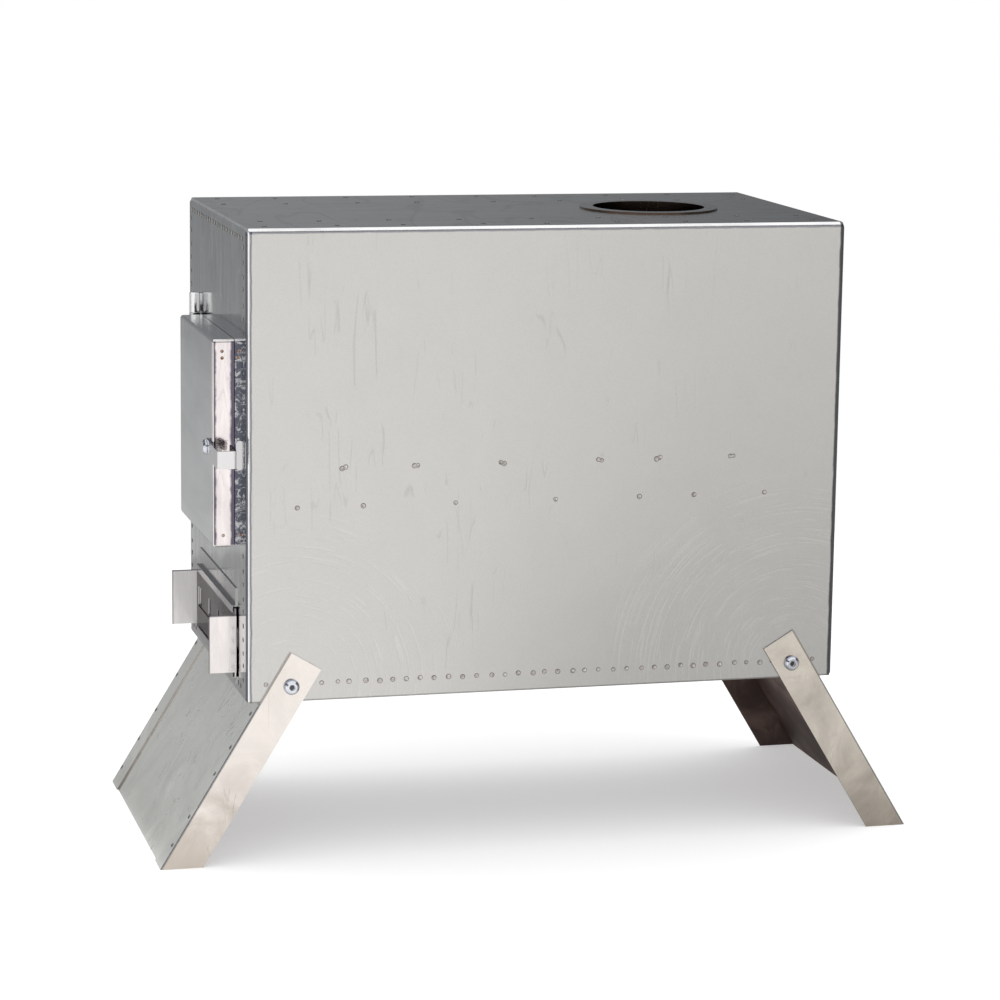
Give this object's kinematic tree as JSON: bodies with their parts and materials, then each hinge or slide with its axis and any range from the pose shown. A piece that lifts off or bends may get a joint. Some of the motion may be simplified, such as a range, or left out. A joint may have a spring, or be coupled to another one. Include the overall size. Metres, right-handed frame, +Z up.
{
  "type": "camping wood stove",
  "caption": "Box-shaped folding camping wood stove of spot-welded sheet steel, with a hinged feed door, hook latch, sliding air damper, round flue socket and splayed folding legs.",
  "frame": {"origin": "on the ground under the middle of the stove, the bottom centre of its bounding box", "axes": "+Z up; +X from the door end to the flue end; +Y from the latch side to the hinge side"},
  "size_m": [0.539, 0.2562, 0.436],
  "materials": {
    "body_steel": "satin stainless sheet, fine scratches",
    "polished_steel": "near-mirror stainless sheet",
    "leg_steel": "warm grey stainless sheet with stains",
    "inner_steel": "plain mill finish",
    "zinc_fasteners": "bright zinc plate"
  },
  "bodies": {
    "body": {"shell": "body_steel", "front_panel": "polished_steel", "back_panel": "polished_steel", "bottom_pan": "inner_steel", "side_rib_near": "inner_steel", "side_rib_far": "inner_steel", "roof_rib_near": "inner_steel", "roof_rib_far": "inner_steel", "grate_rail_near": "inner_steel", "grate_rail_far": "inner_steel", "grate": "inner_steel", "flue_socket": "body_steel", "door_frame": "polished_steel", "latch_keeper": "polished_steel", "hinge_knuckle_upper": "polished_steel", "hinge_knuckle_lower": "polished_steel", "hinge_pin_upper": "zinc_fasteners", "hinge_pin_lower": "zinc_fasteners", "damper_guide_upper": "polished_steel", "damper_guide_lower": "polished_steel", "front_leg_bolts": "zinc_fasteners", "front_leg_nuts": "zinc_fasteners", "rear_leg_bolts": "zinc_fasteners", "rear_leg_nuts": "zinc_fasteners"},
    "door": {"door_skin": "polished_steel", "door_liner": "polished_steel", "hinge_leaf_upper": "polished_steel", "hinge_leaf_lower": "polished_steel", "latch_rivet": "zinc_fasteners"},
    "latch": {"latch": "polished_steel"},
    "damper": {"damper_slide": "polished_steel"},
    "front_leg": {"front_leg_arm_near": "leg_steel", "front_leg_arm_far": "leg_steel", "front_leg_web": "leg_steel"},
    "rear_leg": {"rear_leg_arm_near": "leg_steel", "rear_leg_arm_far": "leg_steel", "rear_leg_web": "leg_steel"}
  },
  "joints": [
    {"name": "door_hinge", "type": "hinge", "parent": "body", "child": "door", "pos_m": [-0.2143, 0.07418, 0.29], "axis": [0, 0, -1], "range_deg": [0, 120]},
    {"name": "latch_pivot", "type": "hinge", "parent": "door", "child": "latch", "pos_m": [-0.23235, -0.08482, 0.286], "axis": [-1, 0, 0], "range_deg": [-6, 35]},
    {"name": "damper_slide", "type": "slide", "parent": "body", "child": "damper", "axis": [0, -1, 0], "range_m": [-0.0036, 0.0064]},
    {"name": "front_leg_fold", "type": "hinge", "parent": "body", "child": "front_leg", "pos_m": [-0.1794, 0.00718, 0.1235], "axis": [0, -1, 0], "range_deg": [0, 121.2]},
    {"name": "rear_leg_fold", "type": "hinge", "parent": "body", "child": "rear_leg", "pos_m": [0.1794, 0.00718, 0.1235], "axis": [0, 1, 0], "range_deg": [0, 121.2]}
  ]
}
